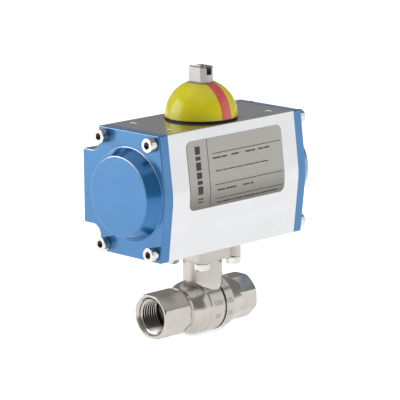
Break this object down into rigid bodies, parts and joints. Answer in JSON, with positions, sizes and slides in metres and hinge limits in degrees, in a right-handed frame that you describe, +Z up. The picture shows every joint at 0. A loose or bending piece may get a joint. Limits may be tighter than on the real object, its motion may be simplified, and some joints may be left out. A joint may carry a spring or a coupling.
{
  "type": "rotary pneumatic actuator",
  "caption": "Spring-return rack-and-pinion pneumatic actuator with domed position indicator, mounted on a threaded nickel-plated ball valve.",
  "frame": {"origin": "centre of the top accessory bolt pattern, on the shaft axis, in the housing's flat top face", "axes": "+Z up along the shaft axis, +X along the housing and the pipe, +Y towards the air ports"},
  "size_m": [0.132, 0.0678, 0.1572],
  "materials": {
    "anodised_housing": "satin natural anodised extrusion",
    "blue_cap": "satin blue coating",
    "stainless_screw": "bright stainless steel",
    "black_rubber": "matte",
    "silver_label": "satin printed metal foil",
    "white_plastic": "low-friction plastic",
    "spring_steel": "oiled spring steel",
    "nickel_plated_brass": "nickel-plated, so grey, not yellow",
    "polished_ball": "polished",
    "shaft_steel": "turned and polished",
    "yellow_plastic": "semi-gloss moulded",
    "red_plastic": "semi-gloss moulded",
    "cast_piston": "die-cast, machined on its head and rack"
  },
  "bodies": {
    "root": {"housing": "anodised_housing", "left_end_cap": "blue_cap", "right_end_cap": "blue_cap", "left_cap_screws": "stainless_screw", "right_cap_screws": "stainless_screw", "left_cap_seal": "black_rubber", "right_cap_seal": "black_rubber", "rating_label": "silver_label", "upper_bush": "white_plastic", "lower_bush": "white_plastic", "thrust_washer": "white_plastic", "indicator_seal_ring": "black_rubber", "left_spring": "spring_steel", "right_spring": "spring_steel", "valve_body": "nickel_plated_brass", "valve_end_adapter": "nickel_plated_brass", "left_seat": "white_plastic", "right_seat": "white_plastic", "stem_packing": "white_plastic", "gland_nut": "nickel_plated_brass", "flange_bolts": "stainless_screw", "flange_washers": "stainless_screw"},
    "drive": {"pinion_shaft": "shaft_steel", "position_indicator": "yellow_plastic", "indicator_stripe": "red_plastic", "shaft_circlip": "spring_steel", "upper_shaft_o_ring": "black_rubber", "lower_shaft_o_ring": "black_rubber", "valve_stem": "shaft_steel", "ball": "polished_ball"},
    "left_piston": {"left_piston": "cast_piston", "left_guide_pads": "white_plastic", "left_piston_seal": "black_rubber"},
    "right_piston": {"right_piston": "cast_piston", "right_guide_pads": "white_plastic", "right_piston_seal": "black_rubber"}
  },
  "joints": [
    {"name": "shaft_turn", "type": "hinge", "parent": "root", "child": "drive", "pos_m": [0, 0, 0], "axis": [0, 0, 1], "range_deg": [0, 90], "stiffness_Nm_per_rad": 1.9, "springref_deg": -120.32},
    {"name": "right_piston_slide", "type": "slide", "parent": "root", "child": "right_piston", "axis": [1, 0, 0], "range_m": [0, 0.0158], "deforming": ["right_spring"]},
    {"name": "left_piston_slide", "type": "slide", "parent": "root", "child": "left_piston", "axis": [-1, 0, 0], "range_m": [0, 0.0158], "deforming": ["left_spring"]}
  ],
  "couplings": [
    {"joint": "right_piston_slide", "follows": "shaft_turn", "m_per_rad": 0.01},
    {"joint": "left_piston_slide", "follows": "shaft_turn", "m_per_rad": 0.01}
  ]
}
